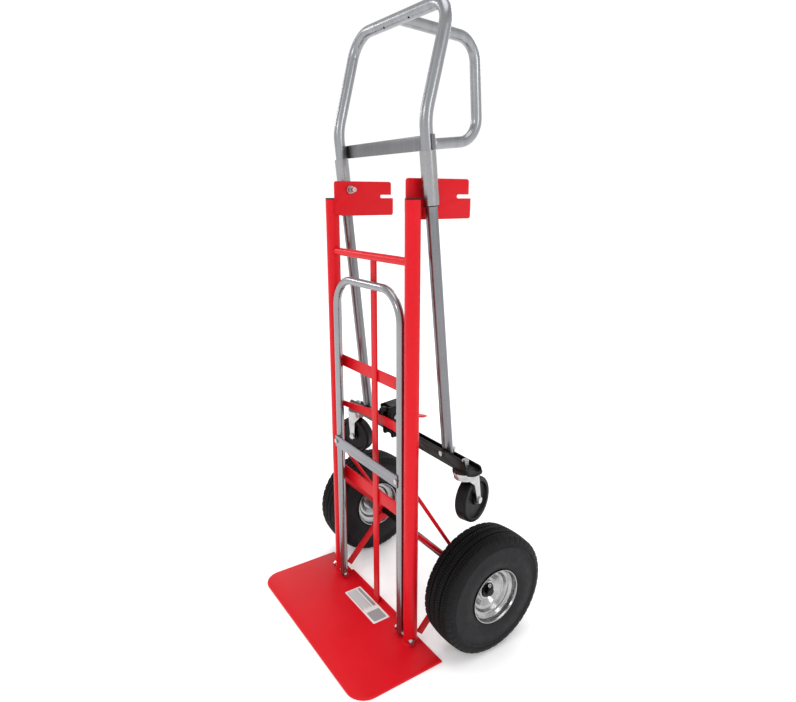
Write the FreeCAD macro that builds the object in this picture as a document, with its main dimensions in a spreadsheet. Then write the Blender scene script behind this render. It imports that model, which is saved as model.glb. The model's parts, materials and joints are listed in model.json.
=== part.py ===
"""Convertible hand truck: upright two-wheel truck whose handle frame swings down into a caster platform.

Millimetres, +Z up, +Y to the rear (wheel side), +X to the truck's right hand when seen from behind.
The origin is on the ground under the middle of the two rails.
"""
import FreeCAD, Part
import math
import os

V = FreeCAD.Vector
NODE_FOLDER = "parts"

DIMENSIONS = {
    # toe plate
    "toe_width": 457.2, "toe_depth": 196.9, "toe_thick": 5.0, "toe_rear": 20.8, "toe_corner": 40.0,
    "toe_lip_half": 126.0, "toe_lip_high": 7.0, "toe_lip_thick": 4.5,
    # upright rails and their plugs
    "rail_offset": 147.6, "rail_radius": 14.3, "rail_wall": 1.6, "rail_top": 898.3,
    "plug_gap": 0.1, "plug_depth": 12.0, "plug_head": 2.6,
    # cross members
    "crossbar_height": 791.0, "crossbar_radius": 7.9,
    "strap_width": 19.0, "strap_thick": 4.0, "strap_top": 797.0,
    "upper_strap_base": 533.0, "upper_strap_height": 25.4,
    "lower_strap_base": 258.0, "lower_strap_height": 28.6,
    # latch bar, bowed to the rear at its middle
    "bar_centre": 444.5, "bar_end_height": 11.0, "bar_mid_height": 20.0, "bar_thick": 4.0,
    "bar_end_y": 7.0, "bar_mid_y": 24.8, "bar_mid_half": 48.0,
    # slotted pivot plates
    "cheek_offset": 129.3, "cheek_thick": 4.0, "cheek_front": 3.2, "cheek_upper_reach": 136.8,
    "cheek_lower_reach": 141.8, "cheek_base": 864.0, "cheek_top": 935.0, "cheek_round": 5.0,
    "slot_mouth_round": 1.0, "slot_end_share": 0.99, "slot_height": 7.0,
    "slot_drop": 13.75, "slot_floor": 108.8, "cheek_hole": 5.06,
    # pivot of the handle frame, and how far its tubes lean
    "pivot_y": 33.2, "pivot_z": 917.75, "lean": 5.88,
    # axle, brackets and struts
    "axle_y": 129.3, "axle_z": 128.0, "axle_radius": 7.9, "axle_half": 246.5, "axle_gap": 0.08,
    "bracket_offset": 153.2, "bracket_thick": 4.0, "bracket_radius": 27.0,
    "strut_offset": 149.0, "upper_strut_radius": 4.0, "middle_strut_radius": 4.75,
    "upper_strut_z": 354.0, "middle_strut_z": 262.0, "upper_strut_end_y": 130.4, "upper_strut_end_z": 148.0,
    "middle_strut_end_y": 116.0, "middle_strut_end_z": 146.0,
    "lower_strut_width": 16.0, "lower_strut_thick": 5.0, "lower_strut_y": 21.5, "lower_strut_z": 15.5,
    "lower_strut_clear": 9.2,
    "washer_radius": 14.0, "washer_thick": 2.0, "washer_bore": 8.1, "inner_washer": 158.0,
    "outer_washer": 236.6, "cotter_offset": 242.0, "cotter_radius": 1.6, "cotter_half": 11.0,
    "cotter_ring": 3.2, "cotter_wire": 1.2, "cotter_bite": 0.6, "cotter_gap": 0.1,
    # main wheels
    "wheel_offset": 223.7, "tyre_radius": 128.0, "tyre_half": 42.0, "tyre_shell": 9.0, "bead_radius": 56.6,
    "bead_half": 35.0, "tyre_crown_share": 0.62, "tyre_shoulder_share": 0.86, "tyre_shoulder_drop": 2.0,
    "tyre_lining_share": 0.45,
    "tyre_flank_round": 30.0, "tyre_shoulder_round": 14.0, "tyre_lining_flank_round": 20.0,
    "tyre_lining_shoulder_round": 12.0, "rim_face": 38.0, "rim_sheet": 2.2, "rim_bend": 2.0,
    "rim_curl": 1.0, "rim_curl_small": 0.6,
    "rim_disc": 6.0, "rim_hub_seat": 19.0, "rim_skin_gap": 0.2,
    "dish_out_1": 6.0, "dish_radius_1": 24.0, "dish_bend_1": 4.0,
    "dish_out_2": 14.0, "dish_radius_2": 35.0, "dish_bend_2": 4.0,
    "dish_out_3": 15.0, "dish_radius_3": 40.0, "dish_bend_3": 2.5,
    "dish_out_4": 22.0, "dish_radius_4": 44.0, "dish_bend_4": 2.5,
    "dish_out_5": 23.0, "dish_radius_5": 49.5, "dish_bend_5": 2.5,
    "hub_radius": 18.8, "hub_inward": 61.0, "hub_outward": 12.0, "bearing_radius": 15.9,
    "bearing_width": 10.0, "bearing_gap": 0.1, "hub_bore": 11.0, "groove_depth": 2.6, "groove_half": 1.6,
    "groove_offset": 13.0,
    # guide sleeves and pivot studs
    "tube_offset": 152.2, "tube_radius": 11.1, "tube_wall": 1.6, "sleeve_radius": 14.3,
    "sleeve_clear": 0.08, "sleeve_below": 29.0, "sleeve_above": 62.0,
    "stud_radius": 5.0, "stud_inner": 110.0,
    "pivot_nut_radius": 7.6, "pivot_nut_height": 7.0, "pivot_washer": 1.6, "pivot_washer_radius": 8.2,
    "nut_gap": 0.2,
    # handle frame, measured along the leaning tubes from the pivot
    "leg_split": 95.0, "kink_z": 116.5, "kink_radius": 110.0, "top_y": 68.6, "top_z": 298.8,
    "top_radius": 46.0, "top_hole_offset": 41.0, "top_hole_radius": 2.4,
    "tie_base": 62.6, "tie_height": 25.4, "tie_thick": 3.2, "tie_wrap": 14.3,
    "tie_bolt_radius": 3.0, "tie_bolt_head": 5.2, "tie_bolt_high": 3.4,
    "loop_low_y": 244.5, "loop_high_y": 249.5, "loop_high_z": 268.0, "loop_radius": 47.0,
    # caster channel
    "channel_half": 240.0, "channel_front": 15.0, "channel_back": 20.6, "channel_sheet": 2.5,
    "channel_base": 526.0, "front_flange": 28.0, "front_flange_low": 232.0, "front_flange_top": 210.0,
    "rear_flange": 9.5, "rear_flange_low": 230.0, "rear_flange_top": 228.0,
    "channel_round": 14.0, "flange_round": 6.0, "leg_bolt_long": 33.6, "drill_reach": 30.0,
    "leg_bolt_rise": 19.7, "leg_bolt_radius": 3.0,
    "leg_bolt_head": 5.2, "leg_bolt_high": 3.6, "tube_seat": 0.2,
    # casters
    "caster_offset": 205.0, "caster_shift": 1.0, "race_radius": 26.0, "race_thick": 4.0, "crown_gap": 0.6,
    "crown_radius": 25.0, "crown_thick": 3.2, "skirt_radius": 24.0, "skirt_inner": 21.5, "skirt_high": 7.0,
    "skirt_bite": 1.0, "king_radius": 5.0, "king_clear": 0.08, "king_head": 9.0, "king_head_high": 3.4,
    "king_nut": 7.8, "king_nut_high": 7.5, "king_tip": 2.5, "king_collar": 6.2, "king_collar_high": 8.5,
    "caster_drop": 72.5, "caster_trail": 17.0,
    "fork_inner": 13.4, "fork_sheet": 2.6, "fork_end": 6.8, "fork_front": 12.0, "fork_back": 21.5,
    "fork_waist": 5.0, "fork_waist_drop": 34.0, "fork_end_share": 0.9, "fork_top_round": 3.0,
    "fork_heel_round": 20.0, "fork_toe_round": 8.0, "fork_waist_round": 12.0, "fork_skirt_round": 6.0,
    "caster_radius": 46.5, "caster_half": 12.4, "caster_core": 36.0, "caster_dish": 5.0,
    "caster_boss": 11.0, "caster_edge": 4.5, "caster_pin": 4.0, "caster_pin_clear": 0.08,
    "caster_core_step": 1.0,
    "caster_core_round": 2.0, "caster_pin_head": 6.5, "caster_pin_high": 3.0,
    "right_caster_turn": 17.0, "left_caster_turn": -68.0,
    # folding extension frame
    "ext_offset": 122.4, "ext_y": -8.0, "ext_pivot_z": 16.0, "ext_top": 736.0, "ext_radius": 8.3,
    "ext_wall": 1.5, "ext_corner": 62.0, "ext_strap_base": 350.0, "ext_strap_height": 26.0,
    "ext_strap_thick": 3.0, "ext_strap_half": 126.0, "ext_rivet_radius": 2.6, "ext_rivet_head": 5.0,
    "ext_rivet_high": 2.0, "ext_bolt_radius": 3.2, "ext_bolt_clear": 0.06, "ext_bolt_head": 5.8,
    "ext_bolt_high": 4.0, "ext_bolt_inner": 111.0, "ext_bolt_outer": 163.5, "ext_nut_radius": 6.4,
    "ext_nut_high": 5.5,
    # latch on the caster channel
    "latch_half": 17.0, "latch_wall": 3.4, "latch_front": 45.0, "latch_back": 2.0, "latch_top": 442.0,
    "latch_roof": 3.0, "latch_roof_set": 9.5, "latch_roof_end": 2.0, "latch_foot": 512.0,
    "latch_knee": 522.0, "latch_step": 497.5, "latch_back_plate": 3.0, "latch_foot_round": 4.0,
    "latch_knee_round": 3.0, "latch_front_round": 2.0, "latch_rear_round": 6.0,
    "latch_knee_share": 1.6, "latch_foot_share": 0.76,
    "latch_seat": 15.0, "latch_pin_y": 30.4, "latch_pin_z": 467.0, "latch_pin_radius": 3.0,
    "latch_pin_clear": 0.06, "latch_pin_head": 4.6, "latch_pin_high": 1.8, "latch_hub": 8.0,
    "latch_lever_half": 12.0, "latch_lift": 20.0, "hook_half": 3.5, "hook_centre": 8.0,
    "hook_heel": 4.0, "hook_neck": 30.0, "hook_nose": 37.0, "hook_tooth": 30.5, "hook_root": 7.0,
    "hook_foot": 5.0, "hook_tip": 1.0, "hook_under": 10.0, "hook_brow": 19.0, "hook_back": 16.0,
    "hook_back_round": 5.0, "hook_round": 2.0,
    "pedal_thick": 3.2, "pedal_tip_share": 0.25,
    "pedal_round": 8.0, "pedal_tip_round": 2.5, "pedal_tip_y": 60.8, "pedal_tip_z": 498.6,
    "pedal_point": 16.0,
    "latch_bolt_rise": 511.0, "latch_bolt_offset": 7.5, "latch_bolt_radius": 2.4, "latch_bolt_head": 4.0,
    "latch_bolt_high": 2.6,
}

doc = FreeCAD.newDocument("hand_truck")
sheet = doc.addObject("Spreadsheet::Sheet", "dims")
for row, (alias, value) in enumerate(DIMENSIONS.items(), start=1):
    sheet.set("A%d" % row, alias)
    sheet.set("B%d" % row, str(value))
    sheet.setAlias("B%d" % row, alias)
doc.recompute()


def d(alias):
    """A driving dimension, read from the sheet."""
    return float(sheet.get(alias))


YZX = FreeCAD.Rotation(V(1, 1, 1), 120)
ALONG_X = FreeCAD.Rotation(V(0, 1, 0), 90)
ALONG_Y = FreeCAD.Rotation(V(1, 0, 0), -90)
UPRIGHT = FreeCAD.Rotation()
LEANING = FreeCAD.Placement(V(0, d("pivot_y"), d("pivot_z")), FreeCAD.Rotation(V(1, 0, 0), d("lean")))
HOME = FreeCAD.Placement()
SIDES = (("left", -1), ("right", 1))
finished = []


def at(x, y, z, turn=UPRIGHT, base=HOME):
    """A placement at a point of the base frame, turned."""
    return base.multiply(FreeCAD.Placement(V(x, y, z), turn))


def name_it(piece, label):
    """Give a finished sub-part its node name."""
    piece.Label = label
    finished.append(piece)
    return piece


def bind(piece, **sizes):
    """Bind properties of a piece to the sheet."""
    for prop, formula in sizes.items():
        piece.setExpression(prop, formula)
    return piece


def rod(name, radius, length, placement):
    """A round bar along its own Z."""
    piece = doc.addObject("Part::Cylinder", name)
    bind(piece, Radius=radius, Height=length)
    piece.Placement = placement
    return piece


def block(name, length, width, height, placement):
    """A rectangular block from its own corner."""
    piece = doc.addObject("Part::Box", name)
    bind(piece, Length=length, Width=width, Height=height)
    piece.Placement = placement
    return piece


def hexagon(name, radius, height, placement):
    """A six-sided nut or head along its own Z."""
    piece = doc.addObject("Part::Prism", name)
    piece.Polygon = 6
    bind(piece, Circumradius=radius, Height=height)
    piece.Placement = placement
    return piece


def less(name, base, tools):
    """The base piece with the tools cut away, one after another."""
    for number, tool in enumerate(tools):
        cut = doc.addObject("Part::Cut", "%s_cut%d" % (name, number))
        cut.Base = base
        cut.Tool = tool
        base = cut
    return base


def joined(name, pieces):
    """Several pieces fused into one."""
    fuse = doc.addObject("Part::MultiFuse", name)
    fuse.Shapes = pieces
    fuse.Refine = True
    return fuse


def group(label, pieces):
    """Identical loose pieces kept as separate solids of one node."""
    together = doc.addObject("Part::Compound", label)
    together.Links = pieces
    return name_it(together, label)


def outline(body, name, points, circles=()):
    """A closed sketch on the body's XY plane: straight lines, or arcs where a corner has a radius."""
    sketch = body.newObject("Sketcher::SketchObject", name)
    plane = [f for f in body.Origin.OriginFeatures if f.Role == "XY_Plane"][0]
    sketch.AttachmentSupport = [(plane, "")]
    sketch.MapMode = "FlatFace"
    for edge in rounded_edges([V(p[0], p[1], 0) for p in points], [corner_of(p) for p in points], True):
        sketch.addGeometry(edge, False)
    for x, y, radius in circles:
        sketch.addGeometry(Part.Circle(V(x, y, 0), V(0, 0, 1), radius), False)
    return sketch


def corner_of(point):
    """The corner radius stated with a point, or none."""
    return point[2] if len(point) > 2 else 0


def rounded_edges(points, radii, closed):
    """Line segments and tangent arcs through the points."""
    count = len(points)
    spans = []
    for k, (point, radius) in enumerate(zip(points, radii)):
        inner = closed or 0 < k < count - 1
        if not inner or not radius:
            spans.append((point, point, None))
            continue
        back = (points[k - 1] - point).normalize()
        ahead = (points[(k + 1) % count] - point).normalize()
        half = back.getAngle(ahead) / 2
        reach = radius / math.tan(half)
        middle = (back + ahead).normalize()
        centre = point + middle * (radius / math.sin(half))
        spans.append((point + back * reach, point + ahead * reach, centre - middle * radius))
    edges = []
    for k, (start, end, peak) in enumerate(spans):
        if peak is not None:
            edges.append(Part.Arc(start, peak, end))
        if closed or k < count - 1:
            edges.append(Part.LineSegment(end, spans[(k + 1) % count][0]))
    return edges


def plate(name, points, thickness, placement, circles=()):
    """A flat plate padded from its outline."""
    body = doc.addObject("PartDesign::Body", name)
    sketch = outline(body, name + "_outline", points, circles)
    pad = body.newObject("PartDesign::Pad", name + "_pad")
    pad.Profile = sketch
    bind(pad, Length=thickness)
    body.Placement = placement
    return body


def turned(name, points, placement):
    """A solid turned about its own X axis from a half section."""
    body = doc.addObject("PartDesign::Body", name)
    sketch = outline(body, name + "_section", points)
    spin = body.newObject("PartDesign::Revolution", name + "_spin")
    spin.Profile = sketch
    spin.ReferenceAxis = (sketch, ["H_Axis"])
    spin.Angle = 360
    body.Placement = placement
    return body


def tube_shape(points, radii, outer, inner=0):
    """A bent tube, or a bent bar when there is no inner radius, along straight runs and arcs."""
    spine = Part.Wire([edge.toShape() for edge in rounded_edges(points, radii, False)])
    along = (points[1] - points[0]).normalize()
    solids = []
    for radius in (outer, inner):
        if radius:
            ring = Part.Wire([Part.makeCircle(radius, points[0], along)])
            solids.append(spine.makePipeShell([ring], True, False))
    return solids[0].cut(solids[1]) if inner else solids[0]


def shaped(name, shape, placement):
    """A piece whose shape comes from Part's own functions."""
    piece = doc.addObject("Part::Feature", name)
    piece.Shape = shape
    piece.Placement = placement
    return piece


def rail_cutters(name):
    """The two rails' outlines, which cope the ends of the cross members."""
    return [rod("%s_cope%d" % (name, side), "dims.rail_radius", "dims.rail_top",
                at(side * d("rail_offset"), 0, 0)) for _, side in SIDES]


def make_toe_plate():
    """Steel toe plate with large front corners and the folding frame's bolts above it."""
    half = d("toe_width") / 2
    front = d("toe_rear") - d("toe_depth")
    corner = d("toe_corner")
    points = [(-half, d("toe_rear")), (-half, front, corner), (half, front, corner), (half, d("toe_rear"))]
    sheet_metal = plate("toe_sheet", points, "dims.toe_thick", HOME)
    lip = block("toe_lip", "2 * dims.toe_lip_half", "dims.toe_lip_thick",
                "dims.toe_thick + dims.toe_lip_high",
                at(-d("toe_lip_half"), d("toe_rear") - d("toe_lip_thick"), 0))
    name_it(joined("toe_whole", [sheet_metal, lip]), "toe_plate")


def make_rails():
    """Two rails standing on the toe plate, each with a plug in its top."""
    plugs = []
    for word, side in SIDES:
        place = at(side * d("rail_offset"), 0, d("toe_thick"))
        outer = rod(word + "_rail_outer", "dims.rail_radius", "dims.rail_top - dims.toe_thick", place)
        inner = rod(word + "_rail_inner", "dims.rail_radius - dims.rail_wall", "dims.rail_top", place)
        hole = rod(word + "_rail_hole", "dims.ext_bolt_radius + dims.nut_gap", "4 * dims.rail_radius",
                   at(side * d("rail_offset") - 2 * d("rail_radius"), d("ext_y"), d("ext_pivot_z"), ALONG_X))
        name_it(less(word + "_rail_tube", outer, [inner, hole]), word + "_rail")
        stem = rod(word + "_plug_stem", "dims.rail_radius - dims.rail_wall - dims.plug_gap",
                   "dims.plug_depth + dims.plug_head",
                   at(side * d("rail_offset"), 0, d("rail_top") - d("plug_depth")))
        head = rod(word + "_plug_head", "dims.rail_radius", "dims.plug_head",
                   at(side * d("rail_offset"), 0, d("rail_top")))
        plugs.append(joined(word + "_plug", [stem, head]))
    group("rail_caps", plugs)


def make_cross_members():
    """Round top bar, centre strap and two flat cross straps behind it."""
    bar = rod("crossbar_stock", "dims.crossbar_radius", "2 * dims.rail_offset",
              at(-d("rail_offset"), 0, d("crossbar_height"), ALONG_X))
    name_it(less("crossbar", bar, rail_cutters("crossbar")), "top_crossbar")
    front = d("crossbar_radius")
    name_it(block("strap", "dims.strap_width", "dims.strap_thick", "dims.strap_top - dims.toe_thick",
                  at(-d("strap_width") / 2, front, d("toe_thick"))), "centre_strap")
    for word in ("upper", "lower"):
        stock = block(word + "_strap_stock", "2 * dims.rail_offset", "dims.strap_thick",
                      "dims.%s_strap_height" % word,
                      at(-d("rail_offset"), front + d("strap_thick"), d(word + "_strap_base")))
        name_it(less(word + "_strap", stock, rail_cutters(word + "_strap")), word + "_cross_strap")


def make_latch_bar():
    """Flat bar between the rails, bowed to the rear where the latch hooks over it."""
    end = d("rail_offset")
    mid = d("bar_mid_half")
    thick = d("bar_thick")
    low, deep = d("bar_end_y"), d("bar_mid_y")
    points = [(-end, low), (-mid, deep), (mid, deep), (end, low),
              (end, low + thick), (mid, deep + thick), (-mid, deep + thick), (-end, low + thick)]
    base = d("bar_centre") - d("bar_mid_height") / 2
    bowed = plate("bar_plan", points, "dims.bar_mid_height", at(0, 0, base))
    tall = d("bar_mid_height") / 2
    short = d("bar_end_height") / 2
    face = [(-end, -short), (-mid, -tall), (mid, -tall), (end, -short),
            (end, short), (mid, tall), (-mid, tall), (-end, short)]
    front = plate("bar_face", face, "2 * dims.bar_mid_y",
                  at(0, 2 * d("bar_mid_y"), d("bar_centre"), FreeCAD.Rotation(V(1, 0, 0), 90)))
    shape = doc.addObject("Part::Common", "bar_shape")
    shape.Base = bowed
    shape.Tool = front
    name_it(less("bar", shape, rail_cutters("bar")), "latch_bar")


def make_pivot_plates():
    """Slotted plates inside the rails: they carry the handle pivot and take the channel's flange."""
    slot = d("pivot_z") - d("slot_drop")
    half = d("slot_height") / 2
    corner = d("cheek_round")
    points = [(-d("cheek_front"), d("cheek_base") + d("cheek_thick"), corner),
              (d("rail_radius"), d("cheek_base"), corner),
              (d("cheek_lower_reach"), d("cheek_base"), corner),
              (d("cheek_lower_reach"), slot - half, d("slot_mouth_round")),
              (d("slot_floor"), slot - half, half * d("slot_end_share")),
              (d("slot_floor"), slot + half, half * d("slot_end_share")),
              (d("cheek_upper_reach"), slot + half, d("slot_mouth_round")),
              (d("cheek_upper_reach"), d("cheek_top"), corner),
              (-d("cheek_front"), d("cheek_top"), corner)]
    hole = [(d("pivot_y"), d("pivot_z"), d("cheek_hole"))]
    for word, side in SIDES:
        inner = d("cheek_offset") if side > 0 else -d("cheek_offset") - d("cheek_thick")
        name_it(plate(word + "_cheek", points, "dims.cheek_thick", at(inner, 0, 0, YZX), hole),
                word + "_slot_plate")


def slanted_rod(name, radius, start, end):
    """A straight rod between two points."""
    run = end - start
    piece = doc.addObject("Part::Cylinder", name)
    bind(piece, Radius=radius)
    piece.Height = run.Length
    piece.Placement = FreeCAD.Placement(start, FreeCAD.Rotation(V(0, 0, 1), run))
    return piece


def make_struts():
    """Three struts and an axle bracket on each side."""
    struts = {"upper": [], "middle": [], "lower": []}
    brackets = []
    for word, side in SIDES:
        x = side * d("strut_offset")
        for which in ("upper", "middle"):
            start = V(x, 0, d(which + "_strut_z"))
            end = V(x, d(which + "_strut_end_y"), d(which + "_strut_end_z"))
            stock = slanted_rod("%s_%s_strut_stock" % (word, which), "dims.%s_strut_radius" % which,
                                start, end)
            cope = rod("%s_%s_strut_cope" % (word, which), "dims.rail_radius", "dims.rail_top",
                       at(side * d("rail_offset"), 0, 0))
            struts[which].append(less("%s_%s_strut_rod" % (word, which), stock, [cope]))
        foot = V(0, d("lower_strut_y"), d("lower_strut_z"))
        run = V(0, d("axle_y"), d("axle_z")) - foot
        turn = FreeCAD.Rotation(V(0, 0, 1), run)
        thick = d("lower_strut_thick")
        place = FreeCAD.Placement(foot, turn).multiply(
            at(x - thick / 2, -d("lower_strut_width") / 2, 0))
        bar = doc.addObject("Part::Box", word + "_lower_strut_bar")
        bind(bar, Length="dims.lower_strut_thick", Width="dims.lower_strut_width")
        bar.Height = run.Length - d("lower_strut_clear")
        bar.Placement = place
        struts["lower"].append(bar)
        inner = side * d("bracket_offset") if side > 0 else -d("bracket_offset") - d("bracket_thick")
        disc = rod(word + "_bracket_disc", "dims.bracket_radius", "dims.bracket_thick",
                   at(inner, d("axle_y"), d("axle_z"), ALONG_X))
        bore = rod(word + "_bracket_bore", "dims.axle_radius", "3 * dims.bracket_thick",
                   at(inner - d("bracket_thick"), d("axle_y"), d("axle_z"), ALONG_X))
        brackets.append(less(word + "_bracket", disc, [bore]))
    for which, pair in struts.items():
        group(which + "_struts", pair)
    group("axle_brackets", brackets)


def ring(name, outer, inner, height, placement):
    """A flat ring along its own Z."""
    bore = rod(name + "_bore", inner, height, placement)
    return less(name, rod(name + "_outer", outer, height, placement), [bore])


def make_axle():
    """Axle with a cotter pin and two washers at each wheel."""
    shaft = rod("axle_shaft", "dims.axle_radius", "2 * dims.axle_half",
                at(-d("axle_half"), d("axle_y"), d("axle_z"), ALONG_X))
    holes = [rod("axle_hole_" + word, "dims.cotter_radius + dims.cotter_gap", "4 * dims.axle_radius",
                 at(side * d("cotter_offset"), d("axle_y"), d("axle_z") - 2 * d("axle_radius")))
             for word, side in SIDES]
    name_it(less("axle_drilled", shaft, holes), "axle")
    washers, pins = [], []
    for word, side in SIDES:
        for where in ("inner_washer", "outer_washer"):
            x = side * d(where) if side > 0 else -d(where) - d("washer_thick")
            washers.append(ring("%s_%s" % (word, where), "dims.washer_radius", "dims.washer_bore",
                                "dims.washer_thick", at(x, d("axle_y"), d("axle_z"), ALONG_X)))
        pin = rod("cotter_pin_" + word, "dims.cotter_radius", "2 * dims.cotter_half",
                  at(side * d("cotter_offset"), d("axle_y"), d("axle_z") - d("cotter_half")))
        eye = doc.addObject("Part::Torus", "cotter_eye_" + word)
        bind(eye, Radius1="dims.cotter_ring", Radius2="dims.cotter_wire")
        eye.Placement = at(side * d("cotter_offset"), d("axle_y"),
                           d("axle_z") + d("cotter_half") + d("cotter_ring") - d("cotter_bite"), ALONG_X)
        pins.append(joined("cotter_" + word, [pin, eye]))
    group("axle_washers", washers)
    group("cotter_pins", pins)


def make_main_wheels():
    """Two pneumatic wheels: tyre shell, two rim halves, hub and bearings."""
    r, half, shell = d("tyre_radius"), d("tyre_half"), d("tyre_shell")
    bead, seat = d("bead_half"), d("bead_radius")
    deep, groove, spread = d("groove_depth"), d("groove_half"), d("groove_offset")
    tread = []
    for middle in (-spread, 0, spread):
        tread += [(middle - groove, r), (middle - groove, r - deep), (middle + groove, r - deep),
                  (middle + groove, r)]
    waist = (r + seat) / 2
    crown, shoulder = half * d("tyre_crown_share"), half * d("tyre_shoulder_share")
    lining, edge = half * d("tyre_lining_share"), r - d("tyre_shoulder_drop")
    bulge, turn = d("tyre_flank_round"), d("tyre_shoulder_round")
    bulge_in, turn_in = d("tyre_lining_flank_round"), d("tyre_lining_shoulder_round")
    section = ([(-bead, seat), (-half, waist, bulge), (-shoulder, edge, turn), (-crown, r)] + tread
               + [(crown, r), (shoulder, edge, turn), (half, waist, bulge), (bead, seat),
                  (bead - shell, seat), (bead - shell, seat + shell), (half - shell, waist, bulge_in),
                  (lining, r - shell - deep, turn_in), (-lining, r - shell - deep, turn_in),
                  (-half + shell, waist, bulge_in), (-bead + shell, seat + shell), (-bead + shell, seat)])
    sheet_t = d("rim_sheet")
    face, disc, hub_seat = d("rim_face"), d("rim_disc"), d("rim_hub_seat")
    skin = seat - d("rim_skin_gap")
    steps = [(d("dish_out_%d" % k), d("dish_radius_%d" % k), d("dish_bend_%d" % k)) for k in range(1, 6)]
    behind = [(x - sheet_t, r_step + sheet_t / 2, turn) for x, r_step, turn in reversed(steps)]
    seat_start = bead - shell - sheet_t / 2
    bend, curl, small = d("rim_bend"), d("rim_curl"), d("rim_curl_small")
    rim = ([(disc, hub_seat)] + steps
           + [(seat_start + sheet_t, skin - sheet_t, bend), (face - sheet_t, skin - sheet_t, bend),
              (face + curl, skin - curl, curl), (face + curl, skin + small), (face - small, skin + small),
              (face - sheet_t, skin), (seat_start, skin, bend)]
           + behind + [(disc - sheet_t, hub_seat)])
    inner_rim = [(0 - x, *rest) for x, *rest in rim]
    hub_r, inward, outward = d("hub_radius"), d("hub_inward"), d("hub_outward")
    pocket, width, bore = d("bearing_radius") + d("bearing_gap"), d("bearing_width"), d("hub_bore")
    for word, side in SIDES:
        place = at(side * d("wheel_offset"), d("axle_y"), d("axle_z"))
        name_it(turned(word + "_tyre_ring", section, place), word + "_tyre")
        facing, hidden = ("outer", "inner") if side > 0 else ("inner", "outer")
        name_it(turned(word + "_rim_a", rim, place), word + "_rim_" + facing)
        name_it(turned(word + "_rim_b", inner_rim, place), word + "_rim_" + hidden)
        near, far = side * inward, side * outward
        step = side * width
        hub = [(-near, pocket), (-near, hub_r), (far, hub_r), (far, pocket), (far - step, pocket),
               (far - step, bore), (step - near, bore), (step - near, pocket)]
        name_it(turned(word + "_hub_barrel", hub, place), word + "_hub")
        starts = (-inward, outward - width) if side > 0 else (-outward, inward - width)
        rings = [ring("%s_bearing_%s" % (word, end), "dims.bearing_radius",
                      "dims.axle_radius + dims.axle_gap",
                      "dims.bearing_width",
                      place.multiply(at(start, 0, 0, ALONG_X)))
                 for end, start in zip("ab", starts)]
        group(word + "_bearings", rings)


def make_sleeves():
    """Guide sleeves on the handle tubes, with their pivot studs, washers and nuts."""
    studs, nuts = [], []
    for word, side in SIDES:
        x = side * d("tube_offset")
        name_it(ring(word + "_sleeve_tube", "dims.sleeve_radius", "dims.tube_radius + dims.sleeve_clear",
                     "dims.sleeve_below + dims.sleeve_above",
                     at(x, 0, -d("sleeve_below"), base=LEANING)), word + "_sleeve")
        start = d("stud_inner") if side > 0 else -d("tube_offset")
        stock = rod(word + "_stud_stock", "dims.stud_radius", "dims.tube_offset - dims.stud_inner",
                    at(start, 0, 0, ALONG_X, LEANING))
        cope = rod(word + "_stud_cope", "dims.sleeve_radius", "2 * dims.sleeve_above",
                   at(x, 0, -d("sleeve_above"), base=LEANING))
        studs.append(less(word + "_stud", stock, [cope]))
        face = d("cheek_offset") - d("nut_gap")
        washer_low = face - d("pivot_washer")
        nut_low = washer_low - d("pivot_nut_height")
        for kind, base, high in (("washer", washer_low, "pivot_washer"),
                                 ("nut", nut_low, "pivot_nut_height")):
            begin = base if side > 0 else -base - d(high)
            place = at(begin, 0, 0, ALONG_X, LEANING)
            bore = rod("%s_pivot_%s_bore" % (word, kind), "dims.stud_radius", "dims." + high, place)
            if kind == "nut":
                stock = hexagon(word + "_pivot_nut_hex", "dims.pivot_nut_radius",
                                "dims.pivot_nut_height", place)
            else:
                stock = rod(word + "_pivot_washer_disc", "dims.pivot_washer_radius",
                            "dims.pivot_washer", place)
            nuts.append(less("%s_pivot_%s" % (word, kind), stock, [bore]))
    group("pivot_studs", studs)
    group("pivot_nuts", nuts)


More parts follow.
